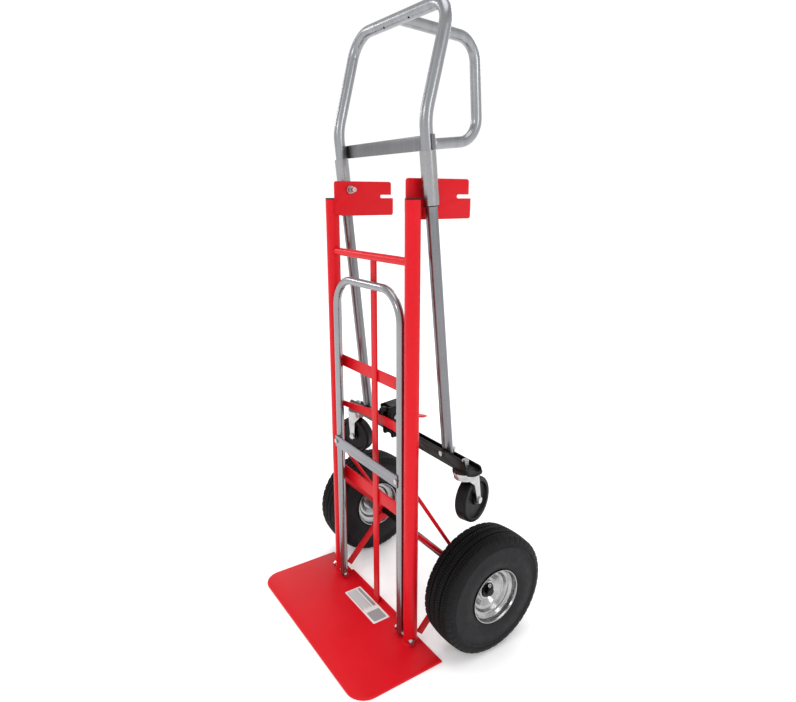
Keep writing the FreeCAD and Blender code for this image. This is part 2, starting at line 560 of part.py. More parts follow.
def make_handle():
    """Leg tubes, bent upper hoop, flat tie strap with its bolts, and the grip loop."""
    outer, inner = d("tube_radius"), d("tube_radius") - d("tube_wall")
    foot = d("channel_sheet") + d("tube_seat") - d("channel_base")
    for word, side in SIDES:
        x = side * d("tube_offset")
        place = at(x, 0, foot, base=LEANING)
        stock = rod(word + "_leg_outer", "dims.tube_radius", "1", place)
        hollow = rod(word + "_leg_inner", "dims.tube_radius - dims.tube_wall", "1", place)
        for piece in (stock, hollow):
            bind(piece, Height="dims.leg_split + dims.channel_base - dims.channel_sheet - dims.tube_seat")
        drill = rod(word + "_leg_drill", "dims.leg_bolt_radius + dims.nut_gap", "2 * dims.drill_reach",
                    at(x, -d("drill_reach"), d("leg_bolt_rise") - d("channel_base"), ALONG_Y, LEANING))
        middle = d("tie_base") + d("tie_height") / 2
        drill_tie = rod(word + "_leg_drill_tie", "dims.tie_bolt_radius + dims.nut_gap",
                        "2 * dims.drill_reach",
                        at(x, 0, middle, ALONG_Y, LEANING))
        name_it(less(word + "_leg", stock, [hollow, drill, drill_tie]), word + "_leg_tube")
    half, top_y, top_z = d("tube_offset"), d("top_y"), d("top_z")
    points = [V(-half, 0, d("leg_split")), V(-half, 0, d("kink_z")), V(-half, top_y, top_z),
              V(half, top_y, top_z), V(half, 0, d("kink_z")), V(half, 0, d("leg_split"))]
    radii = [0, d("kink_radius"), d("top_radius"), d("top_radius"), d("kink_radius"), 0]
    hoop = tube_shape(points, radii, outer, inner)
    for x in (-d("top_hole_offset"), d("top_hole_offset")):
        hoop = hoop.cut(Part.makeCylinder(d("top_hole_radius"), 2 * outer, V(x, top_y, top_z), V(0, -1, -1)))
    name_it(shaped("hoop", hoop, LEANING), "handle_hoop")
    make_tie(middle)
    low_y, high_y = d("loop_low_y"), d("loop_high_y")
    start = outer + d("tie_thick")
    path = [V(0, start, middle), V(0, low_y, middle), V(0, high_y, d("loop_high_z")), V(0, top_y, top_z)]
    loop = tube_shape(path, [0, d("loop_radius"), d("loop_radius"), 0], outer, inner)
    bar = Part.makeCylinder(outer, 8 * outer, V(-4 * outer, top_y, top_z), V(1, 0, 0))
    name_it(shaped("loop", loop.cut(bar), LEANING), "grip_loop")


def make_tie(middle):
    """Flat strap behind the tubes, wrapped round them at its ends and bolted through."""
    wraps = []
    stock = block("tie_stock", "2 * dims.tube_offset", "dims.tie_thick", "dims.tie_height",
                  at(-d("tube_offset"), d("tube_radius"), d("tie_base"), base=LEANING))
    bolts = []
    for word, side in SIDES:
        x = side * d("tube_offset")
        wrap = ring("tie_wrap_" + word, "dims.tie_wrap", "dims.tube_radius", "dims.tie_height",
                    at(x, 0, d("tie_base"), base=LEANING))
        front = block("tie_front_" + word, "3 * dims.tie_wrap", "2 * dims.tie_wrap", "2 * dims.tie_height",
                      at(x - 3 * d("tie_wrap") / 2, -2 * d("tie_wrap"), d("tie_base") - d("tie_height") / 2,
                         base=LEANING))
        wraps.append(less("tie_half_" + word, wrap, [front]))
        face = d("tube_radius") + d("tie_thick")
        head = rod("tie_bolt_head_" + word, "dims.tie_bolt_head", "dims.tie_bolt_high",
                   at(x, face, middle, ALONG_Y, LEANING))
        shank = rod("tie_bolt_shank_" + word, "dims.tie_bolt_radius", "dims.tie_thick + dims.tube_wall",
                    at(x, d("tube_radius") - d("tube_wall"), middle, ALONG_Y, LEANING))
        bolts.append(joined("tie_bolt_" + word, [head, shank]))
    whole = joined("tie_whole", [stock] + wraps)
    drills = [rod("tie_drill_" + word, "dims.tie_bolt_radius", "2 * dims.tie_wrap",
                  at(side * d("tube_offset"), 0, middle, ALONG_Y, LEANING)) for word, side in SIDES]
    name_it(less("tie", whole, drills), "handle_strap")
    group("handle_strap_bolts", bolts)


def make_channel():
    """Caster channel with a high front flange and a low rear flange, bolted to the leg tubes."""
    half, front, back = d("channel_half"), d("channel_front"), d("channel_back")
    sheet_t, corner = d("channel_sheet"), d("channel_round")
    web = plate("channel_web", [(-half, -front, corner), (half, -front, corner), (half, back, corner),
                                (-half, back, corner)], "dims.channel_sheet",
                at(0, 0, -d("channel_base"), base=LEANING))
    flanges = [web]
    for which, face in (("front", -front), ("rear", back - sheet_t)):
        low, top, high = d(which + "_flange_low"), d(which + "_flange_top"), d(which + "_flange")
        soft = d("flange_round")
        shape = [(-low, 0), (low, 0), (top, high, soft), (-top, high, soft)]
        place = at(0, face + sheet_t, -d("channel_base"), FreeCAD.Rotation(V(1, 0, 0), 90), LEANING)
        flanges.append(plate(which + "_flange_plate", shape, "dims.channel_sheet", place))
    whole = joined("channel_whole", flanges)
    cuts, bolts, nuts = [], [], []
    rise = d("leg_bolt_rise") - d("channel_base")
    for word, side in SIDES:
        x = side * d("tube_offset")
        cuts.append(rod("channel_drill_" + word, "dims.leg_bolt_radius", "4 * dims.channel_sheet",
                        at(x, -front - sheet_t, rise, ALONG_Y, LEANING)))
        cuts.append(rod("channel_king_hole_" + word, "dims.king_radius", "4 * dims.channel_sheet",
                        at(side * d("caster_offset"), d("caster_shift"), -d("channel_base") - sheet_t,
                           base=LEANING)))
        head = rod("leg_bolt_head_" + word, "dims.leg_bolt_head", "dims.leg_bolt_high",
                   at(x, -front - d("leg_bolt_high"), rise, ALONG_Y, LEANING))
        shank = rod("leg_bolt_shank_" + word, "dims.leg_bolt_radius", "dims.leg_bolt_long",
                    at(x, -front, rise, ALONG_Y, LEANING))
        bolts.append(joined("leg_bolt_" + word, [head, shank]))
        place = at(x, d("tube_radius") + d("nut_gap"), rise, ALONG_Y, LEANING)
        nut = hexagon("leg_nut_hex_" + word, "dims.leg_bolt_head", "dims.leg_bolt_high", place)
        nuts.append(less("leg_nut_" + word, nut, [rod("leg_nut_bore_" + word, "dims.leg_bolt_radius",
                                                      "dims.leg_bolt_high", place)]))
    for end in (-1, 1):
        cuts.append(rod("channel_latch_hole%d" % end, "dims.latch_bolt_radius", "4 * dims.channel_sheet",
                        at(end * d("latch_bolt_offset"), -front - sheet_t, -d("latch_bolt_rise"),
                           ALONG_Y, LEANING)))
    name_it(less("channel", whole, cuts), "caster_channel")
    group("leg_bolts", bolts)
    group("leg_bolt_nuts", nuts)


def make_casters():
    """Two swivel casters under the channel."""
    races, pins, nuts = [], [], []
    base = -d("channel_base")
    for word, side in SIDES:
        turn = FreeCAD.Rotation(V(0, 0, 1), d(word + "_caster_turn"))
        mount = at(side * d("caster_offset"), d("caster_shift"), base, turn, LEANING)
        race_low = -d("race_thick")
        races.append(ring(word + "_race_ring", "dims.race_radius", "dims.king_radius",
                          "dims.race_thick", at(0, 0, race_low, base=mount)))
        crown_low = race_low - d("crown_gap") - d("crown_thick")
        pin, nut = kingpin(word, mount, crown_low)
        pins.append(pin)
        nuts.append(nut)
        make_fork(word, side, mount, crown_low)
        make_caster_wheel(word, mount)
    group("caster_races", races)
    group("kingpins", pins)
    group("kingpin_nuts", nuts)


def kingpin(word, mount, crown_low):
    """Kingpin with its lower head, and the nut inside the channel."""
    head_top = crown_low - d("nut_gap")
    above = "dims.channel_sheet + dims.king_collar_high + dims.king_nut_high + dims.king_tip"
    below = "dims.race_thick + dims.crown_gap + dims.crown_thick + dims.nut_gap"
    pin = rod(word + "_king_shank", "dims.king_radius", above + " + " + below,
              at(0, 0, head_top, base=mount))
    head = rod(word + "_king_head", "dims.king_head", "dims.king_head_high",
               at(0, 0, head_top - d("king_head_high"), base=mount))
    collar = rod(word + "_king_collar", "dims.king_collar", "dims.king_collar_high",
                 at(0, 0, d("channel_sheet"), base=mount))
    place = at(0, 0, d("channel_sheet") + d("king_collar_high"), base=mount)
    nut = hexagon(word + "_king_nut_hex", "dims.king_nut", "dims.king_nut_high", place)
    bore = rod(word + "_king_nut_bore", "dims.king_radius", "dims.king_nut_high", place)
    return joined(word + "_king", [pin, head, collar]), less(word + "_king_nut", nut, [bore])


def make_fork(word, side, mount, crown_low):
    """Pressed fork: round crown and two tapering legs that trail behind the kingpin."""
    trail, drop, end = d("caster_trail"), d("caster_drop"), d("fork_end")
    front, back = d("fork_front"), d("fork_back")
    crown_top = crown_low + d("crown_thick")
    sense = 1 if side > 0 else -1
    heel, toe, tip = (trail + end) * sense, (trail - end) * sense, end * d("fork_end_share")
    leg = [(-front * sense, crown_top), (back * sense, crown_top, d("fork_top_round")),
           (heel, -drop, d("fork_heel_round")), (heel, -drop - end, tip), (toe, -drop - end, tip),
           (toe, -drop + end, d("fork_toe_round")),
           (d("fork_waist") * sense, -d("fork_waist_drop"), d("fork_waist_round")),
           (-front * sense, crown_low - d("skirt_high") - d("fork_sheet"), d("fork_skirt_round"))]
    if sense < 0:
        leg = leg[::-1]
    hole = [(trail * sense, -drop, d("caster_pin"))]
    legs = []
    for number, inner in enumerate((-d("fork_inner") - d("fork_sheet"), d("fork_inner"))):
        legs.append(plate("%s_fork_leg%d" % (word, number), leg, "dims.fork_sheet",
                          at(inner, 0, 0, YZX, mount), hole))
    crown = ring(word + "_fork_crown", "dims.crown_radius", "dims.king_radius + dims.king_clear",
                 "dims.crown_thick", at(0, 0, crown_low, base=mount))
    skirt = ring(word + "_fork_skirt", "dims.skirt_radius", "dims.skirt_inner",
                 "dims.skirt_high + dims.skirt_bite",
                 at(0, 0, crown_low - d("skirt_high"), base=mount))
    name_it(joined(word + "_fork_whole", [crown, skirt] + legs), word + "_caster_fork")


def make_caster_wheel(word, mount):
    """Moulded caster wheel on a riveted pin."""
    sense = 1 if word == "right" else -1
    centre = at(0, sense * d("caster_trail"), -d("caster_drop"), base=mount)
    r, half, core = d("caster_radius"), d("caster_half"), d("caster_core")
    dish, boss, edge = d("caster_dish"), d("caster_boss"), d("caster_edge")
    bush = d("caster_pin") + d("caster_pin_clear")
    step, soft = d("caster_core_step"), d("caster_core_round")
    section = [(-half, bush), (-half, boss), (dish - half, boss + step), (dish - half, core - step, soft),
               (-half, core + step), (-half, r, edge), (half, r, edge), (half, core + step),
               (half - dish, core - step, soft), (half - dish, boss + step), (half, boss), (half, bush)]
    name_it(turned(word + "_wheel_ring", section, centre), word + "_caster_wheel")
    reach = d("fork_inner") + d("fork_sheet")
    shank = rod(word + "_pin_shank", "dims.caster_pin", "2 * (dims.fork_inner + dims.fork_sheet)",
                at(-reach, 0, 0, ALONG_X, centre))
    heads = [rod("%s_pin_head%d" % (word, number), "dims.caster_pin_head", "dims.caster_pin_high",
                 at(x, 0, 0, ALONG_X, centre))
             for number, x in enumerate((-reach - d("caster_pin_high"), reach))]
    name_it(joined(word + "_pin_whole", [shank] + heads), word + "_caster_pin")


def make_extension():
    """Folding extension: one bent tube hinged on the rails' feet, with a riveted flat strap."""
    outer, inner = d("ext_radius"), d("ext_radius") - d("ext_wall")
    half, y, top, low = d("ext_offset"), d("ext_y"), d("ext_top"), d("ext_pivot_z")
    points = [V(-half, y, low), V(-half, y, top), V(half, y, top), V(half, y, low)]
    bend = d("ext_corner")
    hoop = tube_shape(points, [0, bend, bend, 0], outer, inner)
    for x in (-half, half):
        dome = Part.makeSphere(outer, V(x, y, low))
        corner = V(x - 2 * outer, y - 2 * outer, low - 2 * outer)
        lower = Part.makeBox(4 * outer, 4 * outer, 2 * outer, corner)
        plug = Part.makeCylinder(inner, 2 * outer, V(x, y, low))
        hoop = hoop.fuse(dome.common(lower)).fuse(plug)
        hoop = hoop.cut(Part.makeCylinder(d("ext_bolt_radius") + d("ext_bolt_clear"), 4 * outer,
                                          V(x - 2 * outer, y, low), V(1, 0, 0)))
    name_it(shaped("extension", hoop.removeSplitter(), HOME), "extension_hoop")
    face = y - outer - d("ext_strap_thick")
    middle = d("ext_strap_base") + d("ext_strap_height") / 2
    bar = block("ext_strap_bar", "2 * dims.ext_strap_half", "dims.ext_strap_thick", "dims.ext_strap_height",
                at(-d("ext_strap_half"), face, d("ext_strap_base")))
    drills, rivets = [], []
    for word, side in SIDES:
        x = side * half
        drills.append(rod("ext_strap_drill_" + word, "dims.ext_rivet_radius", "2 * dims.ext_strap_thick",
                          at(x, face - d("ext_strap_thick") / 2, middle, ALONG_Y)))
        head = rod("ext_rivet_head_" + word, "dims.ext_rivet_head", "dims.ext_rivet_high",
                   at(x, face - d("ext_rivet_high"), middle, ALONG_Y))
        shank = rod("ext_rivet_shank_" + word, "dims.ext_rivet_radius", "dims.ext_strap_thick",
                    at(x, face, middle, ALONG_Y))
        rivets.append(joined("ext_rivet_" + word, [head, shank]))
    name_it(less("ext_strap", bar, drills), "extension_strap")
    group("extension_rivets", rivets)
    make_extension_bolts()


def make_extension_bolts():
    """Hinge bolts of the extension, each through a rail's foot, with its nut."""
    y, z = d("ext_y"), d("ext_pivot_z")
    bolts, nuts = [], []
    for word, side in SIDES:
        low = d("ext_bolt_inner") if side > 0 else -d("ext_bolt_outer")
        shank = rod("ext_bolt_shank_" + word, "dims.ext_bolt_radius",
                    "dims.ext_bolt_outer - dims.ext_bolt_inner", at(low, y, z, ALONG_X))
        head_low = d("ext_bolt_inner") - d("ext_bolt_high") if side > 0 else -d("ext_bolt_inner")
        head = hexagon("ext_bolt_head_" + word, "dims.ext_bolt_head", "dims.ext_bolt_high",
                       at(head_low, y, z, ALONG_X))
        bolts.append(joined("ext_bolt_" + word, [shank, head]))
        seat = d("rail_offset") + d("rail_radius")
        nut_low = seat if side > 0 else -seat - d("ext_nut_high")
        place = at(nut_low, y, z, ALONG_X)
        nut = hexagon("ext_nut_hex_" + word, "dims.ext_nut_radius", "dims.ext_nut_high", place)
        nuts.append(less("ext_nut_" + word, nut, [rod("ext_nut_bore_" + word, "dims.ext_bolt_radius",
                                                      "dims.ext_nut_high", place)]))
    group("extension_bolts", bolts)
    group("extension_nuts", nuts)


def make_latch_housing():
    """Latch housing on the channel's front face: two cheeks, a roof and a back plate."""
    half, wall = d("latch_half"), d("latch_wall")
    front, back, roof = -d("latch_front"), d("latch_back"), -d("latch_top")
    foot, knee, step, seat = -d("latch_foot"), -d("latch_knee"), -d("latch_step"), -d("latch_seat")
    bend = d("latch_knee_round")
    side_plate = [(front, foot, d("latch_foot_round")), (front, roof, d("latch_front_round")),
                  (back, roof, d("latch_rear_round")), (back, step, bend), (seat, step), (seat, knee),
                  (seat * d("latch_knee_share"), knee, bend), (front * d("latch_foot_share"), foot, bend)]
    pivot = [(-d("latch_pin_y"), -d("latch_pin_z"), d("latch_pin_radius"))]
    pieces = []
    for number, x in enumerate((-half, half - wall)):
        pieces.append(plate("latch_cheek%d" % number, side_plate, "dims.latch_wall",
                            at(x, 0, 0, YZX, LEANING), pivot))
    inside = -half + wall / 2
    pieces.append(block("latch_roof_plate", "2 * dims.latch_half - dims.latch_wall",
                        "dims.latch_front + dims.latch_back - dims.latch_roof_set - dims.latch_roof_end",
                        "dims.latch_roof",
                        at(inside, front + d("latch_roof_set"), roof - d("latch_roof"), base=LEANING)))
    pieces.append(block("latch_back_wall", "2 * dims.latch_half - dims.latch_wall",
                        "dims.latch_back_plate", "dims.latch_knee - dims.latch_step",
                        at(inside, seat - d("latch_back_plate"), knee, base=LEANING)))
    drills, bolts = [], []
    for word, side in SIDES:
        x = side * d("latch_bolt_offset")
        start = seat - d("latch_back_plate")
        drills.append(rod("latch_drill_" + word, "dims.latch_bolt_radius", "3 * dims.latch_back_plate",
                          at(x, start - d("latch_back_plate"), -d("latch_bolt_rise"), ALONG_Y, LEANING)))
        head = rod("latch_bolt_head_" + word, "dims.latch_bolt_head", "dims.latch_bolt_high",
                   at(x, start - d("latch_bolt_high"), -d("latch_bolt_rise"), ALONG_Y, LEANING))
        shank = rod("latch_bolt_shank_" + word, "dims.latch_bolt_radius",
                    "dims.latch_back_plate + dims.channel_sheet",
                    at(x, start, -d("latch_bolt_rise"), ALONG_Y, LEANING))
        bolts.append(joined("latch_bolt_" + word, [head, shank]))
    name_it(less("latch_box", joined("latch_box_whole", pieces), drills), "latch_housing")
    group("latch_bolts", bolts)


def make_latch_lever():
    """Rocking latch: a hook that drops over the bowed bar, and a foot pedal behind."""
    y, z = -d("latch_pin_y"), -d("latch_pin_z")
    reach = d("latch_half") + d("latch_pin_high")
    shank = rod("latch_pin_shank", "dims.latch_pin_radius", "2 * dims.latch_half",
                at(-d("latch_half"), y, z, ALONG_X, LEANING))
    heads = [rod("latch_pin_head%d" % number, "dims.latch_pin_head", "dims.latch_pin_high",
                 at(x, y, z, ALONG_X, LEANING)) for number, x in enumerate((-reach, d("latch_half")))]
    name_it(joined("latch_pin_whole", [shank] + heads), "latch_pin")
    pivot = at(0, y, z, FreeCAD.Rotation(V(1, 0, 0), -d("latch_lift")), LEANING)
    heel, neck, nose, tooth = d("hook_heel"), -d("hook_neck"), -d("hook_nose"), -d("hook_tooth")
    root, foot, tip = -d("hook_root"), -d("hook_foot"), d("hook_tip")
    under, brow, back = d("hook_under"), d("hook_brow"), d("hook_back")
    soft, firm = d("hook_back_round"), d("hook_round")
    hook = [(heel, foot), (heel, back, soft), (neck, brow, soft), (nose, under + heel, firm),
            (nose, tip, firm), (tooth, tip, firm), (tooth + tip, under, firm), (root, under, firm),
            (root, foot)]
    arm = plate("hook_plate", hook, "2 * dims.hook_half",
                at(d("hook_centre") - d("hook_half"), 0, 0, YZX, pivot))
    barrel = rod("hook_barrel", "dims.latch_hub", "2 * dims.latch_lever_half",
                 at(-d("latch_lever_half"), 0, 0, ALONG_X, pivot))
    bore = rod("hook_bore", "dims.latch_pin_radius + dims.latch_pin_clear", "4 * dims.latch_lever_half",
               at(-2 * d("latch_lever_half"), 0, 0, ALONG_X, pivot))
    name_it(less("hook", joined("hook_whole", [arm, barrel]), [bore]), "latch_hook")
    dy = d("pedal_tip_y") + d("latch_pin_y")
    dz = -d("pedal_tip_z") + d("latch_pin_z")
    tilt = math.degrees(math.atan2(dz, dy))
    long = math.hypot(dy, dz)
    half, point = d("latch_lever_half"), d("pedal_point")
    tip, bend, turn = half * d("pedal_tip_share"), d("pedal_round"), d("pedal_tip_round")
    shape = [(-half, 0), (half, 0), (half, long - point, bend), (tip, long, turn), (-tip, long, turn),
             (-half, long - point, bend)]
    rest = at(0, y, z, FreeCAD.Rotation(V(1, 0, 0), tilt), LEANING)
    blade = plate("pedal_blade", shape, "dims.pedal_thick", at(0, 0, -d("pedal_thick") / 2, base=rest))
    clear = rod("pedal_clear", "dims.latch_hub", "4 * dims.latch_lever_half",
                at(-2 * d("latch_lever_half"), 0, 0, ALONG_X, rest))
    name_it(less("pedal", blade, [clear]), "latch_pedal")


def write_parts():
    """Check every object of the document, then write one STEP file per node."""
    doc.recompute()
    for piece in doc.Objects:
        if "Invalid" in piece.State or "Error" in piece.State:
            raise RuntimeError("%s failed: %s" % (piece.Label, piece.State))
    os.makedirs(NODE_FOLDER, exist_ok=True)
    for piece in finished:
        shape = piece.Shape
        if shape.isNull() or not shape.isValid() or not shape.Solids:
            raise RuntimeError("%s has no valid solid" % piece.Label)
        print(piece.Label, len(shape.Solids), round(shape.Volume))
        shape.exportStep(os.path.join(NODE_FOLDER, piece.Label + ".step"))


make_toe_plate()
make_rails()
make_cross_members()
make_latch_bar()
make_pivot_plates()
make_struts()
make_axle()
make_main_wheels()
make_sleeves()
make_handle()
make_channel()
make_casters()
make_extension()
make_latch_housing()
make_latch_lever()
write_parts()
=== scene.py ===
"""Looks of the convertible hand truck: materials, tyres, welds, softened edges and the studio."""
import json
import math
import random

import bmesh
import bpy
from mathutils import Matrix, Vector


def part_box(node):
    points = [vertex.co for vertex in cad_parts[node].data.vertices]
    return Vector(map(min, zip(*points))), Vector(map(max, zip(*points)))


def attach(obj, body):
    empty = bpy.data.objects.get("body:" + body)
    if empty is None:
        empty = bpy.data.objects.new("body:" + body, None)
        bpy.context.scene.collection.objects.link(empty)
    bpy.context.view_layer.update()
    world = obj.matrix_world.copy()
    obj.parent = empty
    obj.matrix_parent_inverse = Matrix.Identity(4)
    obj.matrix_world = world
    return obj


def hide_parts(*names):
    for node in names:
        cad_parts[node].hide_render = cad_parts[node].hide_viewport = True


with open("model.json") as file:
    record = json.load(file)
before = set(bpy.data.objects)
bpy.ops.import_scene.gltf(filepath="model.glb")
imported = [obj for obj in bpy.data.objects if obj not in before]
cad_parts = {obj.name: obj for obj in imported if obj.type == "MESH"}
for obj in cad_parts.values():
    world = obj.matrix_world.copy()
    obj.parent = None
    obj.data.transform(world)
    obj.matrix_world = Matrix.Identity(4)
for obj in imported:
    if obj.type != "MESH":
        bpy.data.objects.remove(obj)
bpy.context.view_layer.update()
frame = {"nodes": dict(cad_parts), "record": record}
NODES = frame["nodes"]
BEHAVIOUR = frame["record"]["behaviour"]
BODY_OF = {node: body for body, members in BEHAVIOUR["bodies"].items() for node in members}
SLOT_OF = {part["node"]: part["material_slot"] for part in frame["record"]["subparts"]}

# Lengths and places are in metres, heights above the floor.
PLATE_TOP = 0.005
RAIL_RADIUS = 0.0143
SLEEVE_RADIUS = 0.0143


# ---------------------------------------------------------------- materials
BROAD_DETAIL = 5.0
FINE_DETAIL = 3.0
SPECKLE_DETAIL = 2.0
GLOSS_DETAIL = 4.0
GLOSS_PER_MOTTLE = 4
SPECKLE_FADE = 0.06
# The Pointiness where an edge begins to look rubbed, and where it is fully so.
EDGE_POINTINESS = (0.60, 0.74)
RUBBED_PATCHES = 240.0
LEAST_ROUGHNESS = 0.03
COAT_ROUGHNESS = 0.12
WHITE = (1.0, 1.0, 1.0, 1.0)


def linear(r, g, b):
    """A display colour, 0 to 255, as scene-linear values."""
    def channel(v):
        v /= 255.0
        return v / 12.92 if v <= 0.04045 else ((v + 0.055) / 1.055) ** 2.4
    return channel(r), channel(g), channel(b), 1.0


def shade(colour, factor):
    """The colour, lighter or darker."""
    return tuple(min(1.0, c * factor) for c in colour[:3]) + (1.0,)


def noise(nodes, links, coords, scale, detail, stretch=(1, 1, 1)):
    """A noise field in object coordinates, in features per metre."""
    mapping = nodes.new("ShaderNodeMapping")
    mapping.inputs["Scale"].default_value = [scale * s for s in stretch]
    links.new(coords, mapping.inputs["Vector"])
    field = nodes.new("ShaderNodeTexNoise")
    field.inputs["Scale"].default_value = 1.0
    field.inputs["Detail"].default_value = detail
    links.new(mapping.outputs["Vector"], field.inputs["Vector"])
    return field.outputs["Fac"]


def remap(nodes, links, value, low, high, source=(0.3, 0.7)):
    """A value spread between two limits."""
    node = nodes.new("ShaderNodeMapRange")
    node.inputs["From Min"].default_value, node.inputs["From Max"].default_value = source
    node.inputs["To Min"].default_value, node.inputs["To Max"].default_value = low, high
    links.new(value, node.inputs["Value"])
    return node.outputs["Result"]


def mix(nodes, links, factor, a, b):
    """Two colours mixed by a factor."""
    node = nodes.new("ShaderNodeMix")
    node.data_type = "RGBA"
    links.new(factor, node.inputs["Factor"])
    for socket, value in (("A", a), ("B", b)):
        target = [i for i in node.inputs if i.name == socket and i.type == "RGBA"][0]
        if isinstance(value, tuple):
            target.default_value = value
        else:
            links.new(value, target)
    return [o for o in node.outputs if o.type == "RGBA"][0]


def times(nodes, links, first, second):
    """Two values multiplied."""
    node = nodes.new("ShaderNodeMath")
    node.operation = "MULTIPLY"
    links.new(first, node.inputs[0])
    links.new(second, node.inputs[1])
    return node.outputs["Value"]


def finish_material(name, colour, rough, metallic=0.0, coat=0.0, variation=0.08, mottle=18.0,
                    rough_spread=0.05, grain=900.0, bump=0.00006, stretch=(1, 1, 1), specular=0.5,
                    speckle=None, streak=None, worn=1.25, painted_top_light=None):
    """A painted, plated or moulded finish: mottled colour, uneven gloss, fine relief and rubbed edges.

    mottle and grain are in features per metre, and worn is the shade of a rubbed edge.
    speckle holds features per metre, the level where spots begin and their shade.
    streak holds features per metre, a stretch, the strength and the shade of the streaks.
    rise holds the heights where a painted lighter top begins and is full, and that shade; this is painted
    light that stands in for brighter reflections higher up.
    """
    made = bpy.data.materials.new(name)
    made.use_nodes = True
    nodes, links = made.node_tree.nodes, made.node_tree.links
    shader = nodes["Principled BSDF"]
    coords = nodes.new("ShaderNodeTexCoord").outputs["Object"]
    broad = noise(nodes, links, coords, mottle, BROAD_DETAIL)
    tint = mix(nodes, links, remap(nodes, links, broad, 0, 1), shade(colour, 1 - variation),
               shade(colour, 1 + variation))
    # Painted light: above a height the colour turns lighter, standing in for brighter reflections on the
    # upper parts.
    if painted_top_light:
        begins, full, painted_top_light_factor = painted_top_light
        height = nodes.new("ShaderNodeSeparateXYZ")
        links.new(coords, height.inputs["Vector"])
        above = remap(nodes, links, height.outputs["Z"], 0, 1, (begins, full))
        tint = mix(nodes, links, above, tint, shade(colour, painted_top_light_factor))
    if streak:
        streak_scale, streak_stretch, strength, streak_shade = streak
        lines = noise(nodes, links, coords, streak_scale, FINE_DETAIL, streak_stretch)
        tint = mix(nodes, links, remap(nodes, links, lines, 0, strength), tint, shade(colour, streak_shade))
    if speckle:
        speckle_scale, level, speckle_shade = speckle
        spots = noise(nodes, links, coords, speckle_scale, SPECKLE_DETAIL)
        spotted = remap(nodes, links, spots, 0, 1, (level, level + SPECKLE_FADE))
        tint = mix(nodes, links, spotted, tint, shade(colour, speckle_shade))
    pointiness = nodes.new("ShaderNodeNewGeometry").outputs["Pointiness"]
    edges = remap(nodes, links, pointiness, 0, 1, EDGE_POINTINESS)
    patches = noise(nodes, links, coords, RUBBED_PATCHES, FINE_DETAIL)
    rubbed = times(nodes, links, edges, remap(nodes, links, patches, 0, 1))
    tint = mix(nodes, links, rubbed, tint, shade(colour, worn))
    links.new(tint, shader.inputs["Base Color"])
    gloss = noise(nodes, links, coords, mottle * GLOSS_PER_MOTTLE, GLOSS_DETAIL, stretch)
    smoothest = max(LEAST_ROUGHNESS, rough - rough_spread)
    links.new(remap(nodes, links, gloss, smoothest, rough + rough_spread), shader.inputs["Roughness"])
    shader.inputs["Metallic"].default_value = metallic
    shader.inputs["Coat Weight"].default_value = coat
    shader.inputs["Coat Roughness"].default_value = COAT_ROUGHNESS
    shader.inputs["Specular IOR Level"].default_value = specular
    relief = noise(nodes, links, coords, grain, FINE_DETAIL, stretch)
    bumps = nodes.new("ShaderNodeBump")
    bumps.inputs["Strength"].default_value = 1.0
    bumps.inputs["Distance"].default_value = bump
    links.new(relief, bumps.inputs["Height"])
    links.new(bumps.outputs["Normal"], shader.inputs["Normal"])
    return made


MATERIALS = {
    "red_paint": finish_material(
        "red_powder_coat", linear(205, 18, 30), 0.34, coat=0.04, variation=0.03, rough_spread=0.03,
        grain=620.0, bump=0.00004, specular=0.14),
    "bright_tube": finish_material(
        "bright_zinc_tube", linear(150, 151, 154), 0.24, metallic=1.0, variation=0.05, mottle=22.0,
        rough_spread=0.03, grain=900.0, bump=0.00001, stretch=(1, 1, 0.06),
        streak=(150.0, (1, 1, 0.02), 0.5, 0.72), worn=1.4),
    "flat_steel": finish_material(
        "flat_zinc_strap", linear(142, 142, 147), 0.34, metallic=1.0, variation=0.10, grain=1200.0,
        bump=0.00003, stretch=(0.05, 1, 1), streak=(420.0, (0.02, 1, 1), 0.6, 0.72), worn=1.5),
    "zinc_plate": finish_material(
        "zinc_plate", linear(182, 182, 182), 0.30, metallic=1.0, variation=0.14, mottle=90.0,
        grain=1500.0, bump=0.00003),
    "rim_steel": finish_material(
        "bright_zinc_rim", linear(168, 168, 168), 0.22, metallic=1.0, variation=0.15, mottle=55.0,
        rough_spread=0.08, grain=700.0, bump=0.00005, worn=1.6),
    "black_paint": finish_material(
        "gloss_black_paint", linear(13, 13, 14), 0.28, coat=0.05, variation=0.2, grain=600.0,
        bump=0.00005, specular=0.16, worn=4.0),
    "tyre_rubber": finish_material(
        "tyre_rubber", linear(31, 31, 33), 0.58, variation=0.14, mottle=26.0, rough_spread=0.09,
        grain=2200.0, bump=0.00010, specular=0.15, speckle=(1300.0, 0.60, 1.5), worn=1.6),
    "caster_plastic": finish_material(
        "caster_plastic", linear(14, 14, 15), 0.36, variation=0.18, mottle=40.0, grain=1500.0,
        bump=0.00005, specular=0.14, worn=2.5),
    "cap_plastic": finish_material(
        "cap_plastic", linear(18, 18, 20), 0.32, variation=0.15, mottle=60.0, grain=1500.0,
        bump=0.00005, specular=0.2, worn=2.0),
}
# The tread is darker than the sidewall, partly as its own darker rubber and partly as painted shade for the
# light falling away over the tread.
TREAD_RUBBER_AND_PAINTED_SHADE = finish_material(
    "tread_rubber_and_painted_shade", linear(8, 8, 9), 0.52, variation=0.2, mottle=40.0, rough_spread=0.08,
    grain=2200.0, bump=0.00012, specular=0.16, worn=4.0)
